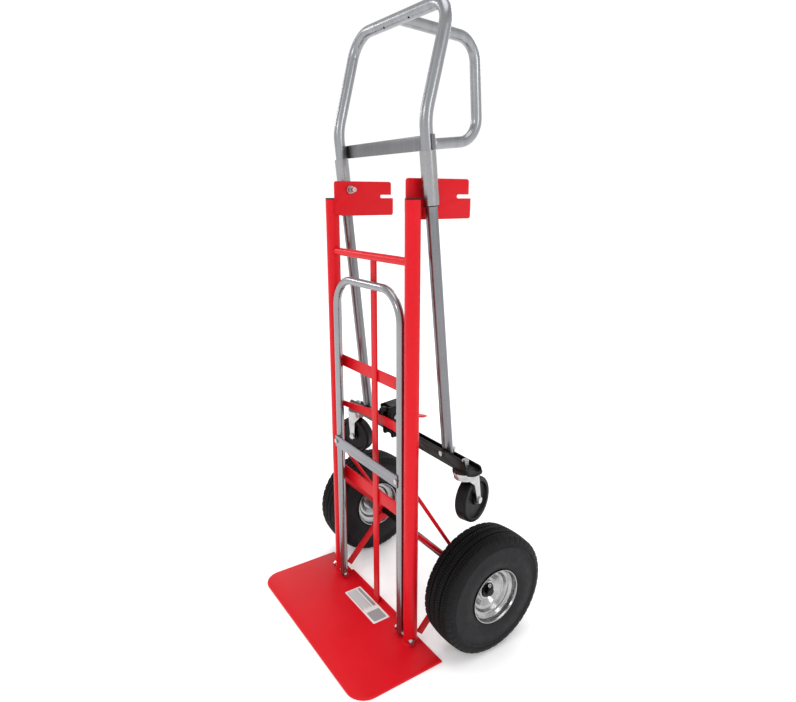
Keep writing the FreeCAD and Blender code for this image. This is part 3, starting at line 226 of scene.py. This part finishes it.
# The handle tubes take a darker copy of the bright zinc with a lighter top. The legs are darker as painted
# shade and the hoop lighter as a painted highlight, both standing in for reflections on one tube.
HANDLE_ZINC_PAINTED_SHADE_AND_LIGHT = finish_material(
    "handle_tube_zinc_painted_shade_and_light", linear(124, 125, 128), 0.30, metallic=1.0, variation=0.05, mottle=20.0,
    rough_spread=0.03, grain=700.0, bump=0.00001, stretch=(1, 1, 0.06),
    streak=(90.0, (1, 1, 0.02), 0.4, 0.80), worn=1.4, painted_top_light=(0.875, 0.900, 1.62))
SLEEVE_ZINC = finish_material(
    "sleeve_zinc", linear(150, 150, 152), 0.30, metallic=1.0, variation=0.05, mottle=30.0,
    grain=900.0, bump=0.00002)
# A darker copy of the flat zinc, for the handle strap only.
STRAP_ZINC = finish_material(
    "darker_strap_zinc", linear(122, 122, 125), 0.36, metallic=1.0, variation=0.12, grain=1200.0,
    bump=0.00003, stretch=(0.05, 1, 1), streak=(120.0, (1, 0.02, 0.02), 0.6, 0.72), worn=1.5)
# Materials that single nodes take instead of their slot's; the handle tubes' one holds painted shade and
# painted light.
OWN_FINISH_AND_PAINTED_LIGHT = {
    "left_leg_tube": HANDLE_ZINC_PAINTED_SHADE_AND_LIGHT,
    "right_leg_tube": HANDLE_ZINC_PAINTED_SHADE_AND_LIGHT,
    "handle_hoop": HANDLE_ZINC_PAINTED_SHADE_AND_LIGHT,
    "grip_loop": HANDLE_ZINC_PAINTED_SHADE_AND_LIGHT,
    "left_sleeve": SLEEVE_ZINC,
    "right_sleeve": SLEEVE_ZINC,
    "handle_strap": STRAP_ZINC,
}


def wear(obj, slot, node=None):
    """Give a piece one material: the node's own one, or its slot's; the handle tubes' own one carries
    painted shade and painted light.
    """
    obj.data.materials.clear()
    obj.data.materials.append(OWN_FINISH_AND_PAINTED_LIGHT.get(node, MATERIALS[slot]))


for node, obj in NODES.items():
    wear(obj, SLOT_OF[node], node)


# ---------------------------------------------------------------- mesh helpers
def add_mesh(name, vertices, faces, smooth=True):
    """A new object from vertices and faces."""
    mesh = bpy.data.meshes.new(name)
    mesh.from_pydata([tuple(v) for v in vertices], [], faces)
    mesh.update()
    obj = bpy.data.objects.new(name, mesh)
    bpy.context.scene.collection.objects.link(obj)
    for polygon in mesh.polygons:
        polygon.use_smooth = smooth
    return obj


def fix_normals(obj):
    """Point all faces outwards."""
    work = bmesh.new()
    work.from_mesh(obj.data)
    bmesh.ops.recalc_face_normals(work, faces=work.faces)
    work.to_mesh(obj.data)
    work.free()


def sharpen(obj, degrees):
    """Smooth shading that keeps real edges crisp."""
    for polygon in obj.data.polygons:
        polygon.use_smooth = True
    obj.data.set_sharp_from_angle(angle=math.radians(degrees))


def lathe(name, section, count, place, depth=None):
    """A ring about local X from a closed section of (x, radius, tag).

    depth(tag, step) is how far a point is lowered at that step of the turn.
    """
    vertices, faces = [], []
    width = len(section)
    for step in range(count):
        angle = 2 * math.pi * step / count
        for x, radius, tag in section:
            low = radius - (depth(tag, step) if depth else 0)
            vertices.append(place @ Vector((x, low * math.cos(angle), low * math.sin(angle))))
    for step in range(count):
        after = (step + 1) % count
        for k in range(width):
            nxt = (k + 1) % width
            faces.append((step * width + k, step * width + nxt, after * width + nxt, after * width + k))
    made = add_mesh(name, vertices, faces)
    fix_normals(made)
    return made


def ring_path(centre, axis, radius):
    """Points of a circle round an axis."""
    count = 40
    axis = Vector(axis).normalized()
    u = axis.orthogonal().normalized()
    v = axis.cross(u)
    points = []
    for i in range(count):
        angle = 2 * math.pi * i / count
        points.append(Vector(centre) + u * (radius * math.cos(angle)) + v * (radius * math.sin(angle)))
    return points


# ---------------------------------------------------------------- tyres
# Points of the flank: distance from the middle plane, depth below the tread, and the lug tag.
SHOULDER = ((0.0325, 0.0025, "lug"), (0.0350, 0.0060, "lug"), (0.0372, 0.0105, "lug"),
            (0.0380, 0.0150, "lug"))
SIDEWALL = ((0.0368, 0.0165, ""), (0.0362, 0.0190, ""), (0.0372, 0.0212, ""), (0.0398, 0.0222, ""),
            (0.0412, 0.0232, ""), (0.0412, 0.0250, ""), (0.0398, 0.0262, ""), (0.0396, 0.0280, ""),
            (0.0412, 0.0400, ""), (0.0418, 0.0470, ""), (0.0414, 0.0540, ""), (0.0400, 0.0600, ""),
            (0.0385, 0.0640, ""))


def tread_section(outer):
    """Points across the tread: a low crown with three grooves between ribs."""
    tread_half = 0.030
    station_gap = 0.0025
    row_width = 0.005
    crown_drop = 0.0022
    grooves = (-0.0155, 0.0, 0.0155)
    groove_half = 0.0015
    groove_depth = 0.0030
    wall_top, wall_foot = groove_half * 1.5, groove_half * 0.9
    wall_offsets = (-wall_top, -wall_foot, wall_foot, wall_top)
    gaps = round(2 * tread_half / station_gap)
    stations = {round(-tread_half + station_gap * i, 5) for i in range(gaps + 1)}
    stations |= {round(groove + offset, 5) for groove in grooves for offset in wall_offsets}
    points = []
    for x in sorted(stations):
        radius = outer - crown_drop * (x / tread_half) ** 2
        if any(abs(x - groove) < groove_half for groove in grooves):
            points.append((x, radius - groove_depth, "groove"))
        else:
            points.append((x, radius, "rib%d" % int((x + tread_half) / row_width)))
    return points


def tread_depth(tag, step):
    """How far a sipe in a rib, or a gap between shoulder lugs, lies below the surface."""
    sipe_depth, sipe_every = 0.0027, 3
    lug_depth, lug_every = 0.0014, 9
    if tag.startswith("rib"):
        row = int(tag[3:])
        return sipe_depth if (step + row % 2) % sipe_every == 0 else 0
    if tag == "lug":
        return lug_depth if step % lug_every in (0, 1) else 0
    return 0


def tyre(side):
    """Pneumatic tyre with ribbed, siped tread, shoulder lugs and a stepped sidewall."""
    node = side + "_tyre"
    low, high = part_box(node)
    centre = (low + high) / 2
    outer = (high.z - low.z) / 2
    bead_r = 0.0568
    turn_steps, crease_degrees = 432, 30
    flank = [(x, outer - drop, tag) for x, drop, tag in SHOULDER + SIDEWALL]
    flank += [(0.0366, bead_r + 0.0016, ""), (0.0352, bead_r, "")]
    mirrored = [(-x, r, tag) for x, r, tag in reversed(flank)]
    cavity = [(0.0270, bead_r, ""), (0.0265, bead_r + 0.009, ""), (0.0330, outer - 0.035, ""),
              (0.0240, outer - 0.014, ""), (0.0, outer - 0.012, "")]
    cavity += [(-x, r, tag) for x, r, tag in reversed(cavity[:-1])]
    section = mirrored + tread_section(outer) + flank + cavity
    obj = lathe(side + "_tyre_tread", section, turn_steps, Matrix.Translation(centre), tread_depth)
    sharpen(obj, crease_degrees)
    wear(obj, "tyre_rubber")
    # The tread and shoulder lugs take the darker tread material, which is partly painted shade.
    obj.data.materials.append(TREAD_RUBBER_AND_PAINTED_SHADE)
    width = len(section)
    for number, polygon in enumerate(obj.data.polygons):
        k = number % width
        polygon.material_index = 1 if section[k][2] and section[(k + 1) % width][2] else 0
    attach(obj, BODY_OF[node])
    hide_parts(node)


for side in ("left", "right"):
    tyre(side)


# ---------------------------------------------------------------- plates with worn edges
# The width of the worn edge of each plate.
SOFT_NODES = {
    "toe_plate": 0.0012,
    "centre_strap": 0.0006,
    "upper_cross_strap": 0.0006,
    "lower_cross_strap": 0.0006,
    "latch_bar": 0.0006,
    "left_slot_plate": 0.0006,
    "right_slot_plate": 0.0006,
    "lower_struts": 0.0007,
    "handle_strap": 0.0004,
    "caster_channel": 0.0005,
    "extension_strap": 0.0005,
    "latch_housing": 0.0006,
    "latch_pedal": 0.0005,
    "left_caster_fork": 0.0004,
    "right_caster_fork": 0.0004,
    "rail_caps": 0.0010,
}


def soften(node, width):
    """Replace a CAD node by the same shape with small worn edges."""
    merge = 0.00002
    flat_degrees = 1.5
    edge_degrees, crease_degrees = 28, 40
    mesh = NODES[node].data.copy()
    obj = bpy.data.objects.new(node + "_soft", mesh)
    bpy.context.scene.collection.objects.link(obj)
    work = bmesh.new()
    work.from_mesh(mesh)
    bmesh.ops.remove_doubles(work, verts=work.verts, dist=merge)
    bmesh.ops.dissolve_limit(work, angle_limit=math.radians(flat_degrees), verts=work.verts,
                             edges=work.edges)
    least = math.radians(edge_degrees)
    edges = [e for e in work.edges if len(e.link_faces) == 2 and e.calc_face_angle(0) > least]
    bmesh.ops.bevel(work, geom=edges, offset=width, offset_type="OFFSET", segments=2, profile=0.6,
                    affect="EDGES", clamp_overlap=True)
    bmesh.ops.recalc_face_normals(work, faces=work.faces)
    work.to_mesh(mesh)
    work.free()
    sharpen(obj, crease_degrees)
    wear(obj, SLOT_OF[node], node)
    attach(obj, BODY_OF[node])
    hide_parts(node)


for node, width in SOFT_NODES.items():
    soften(node, width)


# ---------------------------------------------------------------- welds
# The radius and the random seed of each kind of bead.
RAIL_FOOT_WELD = (0.0021, 11)
CROSSBAR_WELD = (0.0016, 21)
CROSS_STRAP_WELD = (0.0016, 31)
LATCH_BAR_WELD = (0.0015, 41)
SLOT_PLATE_WELD = (0.0018, 51)
STRAP_FOOT_WELD = (0.0016, 61)
AXLE_WELD = (0.0014, 71)


def bead(name, path, kind, seed_shift=0, closed=False):
    """A weld bead on the red frame: a rippled tube along a path of points."""
    body, slot = "frame", "red_paint"
    radius, seed = kind
    rng = random.Random(seed + seed_shift)
    sides = 10
    step_share, end_share = 0.35, 0.35
    least_size, ripple, ripple_turn, jitter = 0.86, 0.2, 0.9, 0.05
    upright = 0.9
    steps = []
    count = len(path)
    spans = count if closed else count - 1
    for k in range(spans):
        a, b = path[k], path[(k + 1) % count]
        pieces = max(2, int((b - a).length / (radius * step_share)))
        steps += [a.lerp(b, i / pieces) for i in range(pieces)]
    if not closed:
        steps.append(path[-1])
    vertices, faces = [], []
    total = len(steps)
    for k, point in enumerate(steps):
        back = steps[k - 1] if closed or k else point
        ahead = steps[(k + 1) % total] if closed or k < total - 1 else point
        along = (ahead - back).normalized()
        side = along.orthogonal() if abs(along.z) > upright else along.cross(Vector((0, 0, 1)))
        side.normalize()
        over = side.cross(along).normalized()
        wave = ripple * abs(math.sin(k * ripple_turn))
        size = radius * (least_size + wave + rng.uniform(-jitter, jitter))
        if not closed and k in (0, total - 1):
            size *= end_share
        for i in range(sides):
            angle = 2 * math.pi * i / sides
            vertices.append(point + side * (size * math.cos(angle)) + over * (size * math.sin(angle)))
    rings = total if closed else total - 1
    for k in range(rings):
        after = (k + 1) % total
        for i in range(sides):
            nxt = (i + 1) % sides
            faces.append((k * sides + i, k * sides + nxt, after * sides + nxt, after * sides + i))
    if not closed:
        faces += [tuple(range(sides))[::-1], tuple((total - 1) * sides + i for i in range(sides))]
    obj = add_mesh(name, vertices, faces)
    fix_normals(obj)
    wear(obj, slot)
    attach(obj, body)


def rail_side(x, sign, y, gap):
    """Where the rail's inner side lies in X, at a place Y off its middle."""
    return x - sign * (math.sqrt(max(RAIL_RADIUS ** 2 - y ** 2, 0)) + gap)


def rail_welds(side, sign):
    """Beads of one rail: its foot, the crossbar, both cross straps, the latch bar and the slot plate."""
    gap, thin_gap = 0.0003, 0.0002
    low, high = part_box(side + "_rail")
    x = (low.x + high.x) / 2
    foot_lift, foot_out = 0.0006, 0.0008
    foot = ring_path((x, 0, PLATE_TOP + foot_lift), (0, 0, 1), RAIL_RADIUS + foot_out)
    bead("weld_rail_foot_" + side, foot, RAIL_FOOT_WELD, sign, closed=True)

    bar_low, bar_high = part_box("top_crossbar")
    bar_z = (bar_low.z + bar_high.z) / 2
    bar_r = (bar_high.z - bar_low.z) / 2
    bar_out = 0.0004
    around = [Vector((rail_side(x, sign, point.y, thin_gap), point.y, point.z))
              for point in ring_path((0, 0, bar_z), (1, 0, 0), bar_r + bar_out)]
    bead("weld_crossbar_" + side, around, CROSSBAR_WELD, sign, closed=True)

    strap_inset = 0.001
    first_shift = 0 if sign < 0 else 2
    for number, strap in enumerate(("upper_cross_strap", "lower_cross_strap")):
        s_low, s_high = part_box(strap)
        edge = rail_side(x, sign, s_low.y, gap)
        ends = [Vector((edge, s_low.y - gap, s_low.z + strap_inset)),
                Vector((edge, s_low.y - gap, s_high.z - strap_inset))]
        bead("weld_%s_%s" % (strap, side), ends, CROSS_STRAP_WELD, first_shift + number)

    bar_y, bar_half = 0.007, 0.0055
    b_low, b_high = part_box("latch_bar")
    mid = (b_low.z + b_high.z) / 2
    edge = rail_side(x, sign, bar_y, gap)
    ends = [Vector((edge, bar_y, mid - bar_half)), Vector((edge, bar_y, mid + bar_half))]
    bead("weld_latch_bar_" + side, ends, LATCH_BAR_WELD, sign)

    plate_out, plate_y, plate_inset = 0.0012, 0.0052, 0.004
    p_low, p_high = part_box(side + "_slot_plate")
    face = (p_low.x if sign < 0 else p_high.x) + sign * plate_out
    ends = [Vector((face, plate_y, p_low.z + plate_inset)), Vector((face, plate_y, high.z - plate_inset))]
    bead("weld_plate_rear_" + side, ends, SLOT_PLATE_WELD, sign)


def strap_foot_welds():
    """Beads in front of and behind the foot of the centre strap."""
    inset = 0.001
    low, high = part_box("centre_strap")
    for name, y in (("front", low.y), ("rear", high.y)):
        ends = [Vector((low.x + inset, y, PLATE_TOP)), Vector((high.x - inset, y, PLATE_TOP))]
        bead("weld_strap_foot_" + name, ends, STRAP_FOOT_WELD)


def axle_welds():
    """Beads round the axle on the outer face of each bracket."""
    ring_radius = 0.0086
    low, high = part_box("axle_brackets")
    y, z = (low.y + high.y) / 2, (low.z + high.z) / 2
    for side, x in (("left", low.x), ("right", high.x)):
        bead("weld_axle_" + side, ring_path((x, y, z), (1, 0, 0), ring_radius), AXLE_WELD, closed=True)


for side, sign in (("left", -1), ("right", 1)):
    rail_welds(side, sign)
strap_foot_welds()
axle_welds()


# ---------------------------------------------------------------- dark lips: painted shade at the sleeve gaps
def sleeve_gap_shades():
    """Dark lips at the lower ends of the guide sleeves, shaped like bushes: painted shade standing in for
    the shadow in the gap between sleeve and tube.
    """
    slide = [j for j in BEHAVIOUR["joints"] if j["name"] == "handle_slide"][0]
    down = Vector(slide["axis"]).normalized()
    down *= -1 if down.z > 0 else 1
    tube_r, lip, rim, bevel = 0.0113, 0.0018, 0.0003, 0.0011
    turn_steps, crease_degrees = 72, 30
    section = [(-lip / 3, tube_r, ""), (-lip / 3, SLEEVE_RADIUS - rim, ""),
               (lip * 0.6, SLEEVE_RADIUS - rim, ""), (lip, SLEEVE_RADIUS - bevel, ""), (lip, tube_r, "")]
    turn = down.to_track_quat("X", "Z").to_matrix().to_4x4()
    across = 2 * SLEEVE_RADIUS * math.sqrt(1 - down.z ** 2)
    for node in ("left_sleeve", "right_sleeve"):
        low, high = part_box(node)
        half = (high.z - low.z - across) / (-2 * down.z)
        end = (low + high) / 2 + down * half
        obj = lathe(node + "_gap_shade_lip", section, turn_steps, Matrix.Translation(end) @ turn)
        sharpen(obj, crease_degrees)
        wear(obj, "cap_plastic")
        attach(obj, BODY_OF[node])


sleeve_gap_shades()


# ---------------------------------------------------------------- sticker
def panel(name, x0, x1, y0, y1, height, material):
    """A thin plate with rounded corners that lies on the toe plate."""
    quarter_steps = 4
    largest_corner = 0.0025
    corner = min(largest_corner, (x1 - x0) / 4, (y1 - y0) / 4)
    outline = []
    for cx, cy, start in ((x1 - corner, y1 - corner, 0), (x0 + corner, y1 - corner, 90),
                          (x0 + corner, y0 + corner, 180), (x1 - corner, y0 + corner, 270)):
        for i in range(quarter_steps + 1):
            angle = math.radians(start + 90 / quarter_steps * i)
            outline.append((cx + corner * math.cos(angle), cy + corner * math.sin(angle)))
    count = len(outline)
    vertices = [Vector((x, y, PLATE_TOP)) for x, y in outline]
    vertices += [Vector((x, y, PLATE_TOP + height)) for x, y in outline]
    faces = [tuple(range(count))[::-1], tuple(range(count, 2 * count))]
    faces += [(i, (i + 1) % count, count + (i + 1) % count, count + i) for i in range(count)]
    obj = add_mesh(name, vertices, faces, smooth=False)
    fix_normals(obj)
    obj.data.materials.append(material)
    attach(obj, "frame")


def sticker():
    """Plain sticker on the toe plate: a pale ground with a few plain grey bars."""
    left, right, front, back = -0.0655, 0.0630, -0.0375, 0.0040
    lift = 0.00025
    margin, block_margin = 0.004, 0.005
    first_line, line_step, line_deep, line_shorter = 0.10, 0.12, 0.05, 0.03
    text_end, block_start, head_start = 0.60, 0.70, 0.74
    pale = finish_material("sticker_pale", linear(226, 224, 224), 0.35, variation=0.03, bump=0.00001)
    grey = finish_material("sticker_grey", linear(150, 148, 150), 0.35, variation=0.05, bump=0.00001)
    panel("sticker_ground", left, right, front, back, lift, pale)
    span, deep = right - left, back - front
    for i in range(5):
        y = front + deep * (first_line + line_step * i)
        line_end = left + span * (text_end - line_shorter * (i % 2))
        panel("sticker_line_%d" % i, left + margin, line_end, y, y + deep * line_deep, 2 * lift, grey)
    panel("sticker_block", left + span * block_start, right - block_margin, front + block_margin,
          back - block_margin, 2 * lift, grey)
    panel("sticker_head", left + margin, left + span * text_end, front + deep * head_start,
          back - margin, 2 * lift, grey)


sticker()


# ---------------------------------------------------------------- studio
# Each area lamp: name, place, point it aims at, power in watts, width.
LAMPS = (
    ("key", (0.6, -3.2, 2.2), (0, 0, 0.6), 13.0, 0.5),
    ("side", (3.2, 0.6, 1.6), (0.1, 0, 0.5), 10.0, 0.5),
    ("fill", (-2.8, -1.2, 2.0), (0, 0, 0.5), 9.0, 0.6),
    ("rear", (-1.0, 2.8, 2.2), (0, 0, 0.6), 14.0, 1.0),
)


def surroundings(scene):
    """A pale world that is a little darker towards the top."""
    low_strength, high_strength = 1.02, 0.62
    fade_heights = (0.30, 0.9)
    world = bpy.data.worlds.new("studio_world")
    world.use_nodes = True
    nodes, links = world.node_tree.nodes, world.node_tree.links
    background = nodes["Background"]
    background.inputs["Color"].default_value = WHITE
    split = nodes.new("ShaderNodeSeparateXYZ")
    links.new(nodes.new("ShaderNodeTexCoord").outputs["Generated"], split.inputs["Vector"])
    strength = remap(nodes, links, split.outputs["Z"], low_strength, high_strength, fade_heights)
    links.new(strength, background.inputs["Strength"])
    scene.world = world


def pale_floor():
    """A wide pale floor just under the wheels."""
    reach, below_wheels, glow = 30.0, 0.0002, 0.16
    corners = [(-reach, -reach, 0), (reach, -reach, 0), (reach, reach, 0), (-reach, reach, 0)]
    floor = add_mesh("studio_floor", corners, [(0, 1, 2, 3)], smooth=False)
    floor.location.z = -below_wheels
    paper = finish_material("studio_paper", (0.93, 0.93, 0.93, 1.0), 0.9, variation=0.004, mottle=2.0,
                            bump=0.00001, specular=0.0, worn=1.0)
    shader = paper.node_tree.nodes["Principled BSDF"]
    shader.inputs["Emission Color"].default_value = WHITE
    shader.inputs["Emission Strength"].default_value = glow
    floor.data.materials.append(paper)


def lights(scene):
    """Four area lamps round the truck and a broad soft sun overhead."""
    for name, place, aim, energy, width in LAMPS:
        lamp = bpy.data.lights.new(name, "AREA")
        lamp.energy = energy
        lamp.size = width
        obj = bpy.data.objects.new(name, lamp)
        scene.collection.objects.link(obj)
        obj.location = place
        obj.rotation_euler = (Vector(aim) - Vector(place)).to_track_quat("-Z", "Y").to_euler()
    overhead = bpy.data.lights.new("overhead", "SUN")
    overhead.energy = 1.2
    overhead.angle = 0.9
    scene.collection.objects.link(bpy.data.objects.new("overhead", overhead))


def photo_camera(scene):
    """The camera of the photograph."""
    lens = bpy.data.cameras.new("camera")
    lens.sensor_fit = "HORIZONTAL"
    lens.sensor_width = 36.0
    lens.lens = 27.0
    camera = bpy.data.objects.new("camera", lens)
    scene.collection.objects.link(camera)
    camera.location = (1.0108, -0.6109, 0.9037)
    heading = Vector((-0.8036, 0.5400, -0.2504))
    camera.rotation_euler = heading.to_track_quat("-Z", "Y").to_euler()
    scene.camera = camera


def studio():
    """Pale floor, soft lights and the camera."""
    scene = bpy.context.scene
    scene.view_settings.view_transform = "Standard"
    surroundings(scene)
    pale_floor()
    lights(scene)
    photo_camera(scene)


studio()
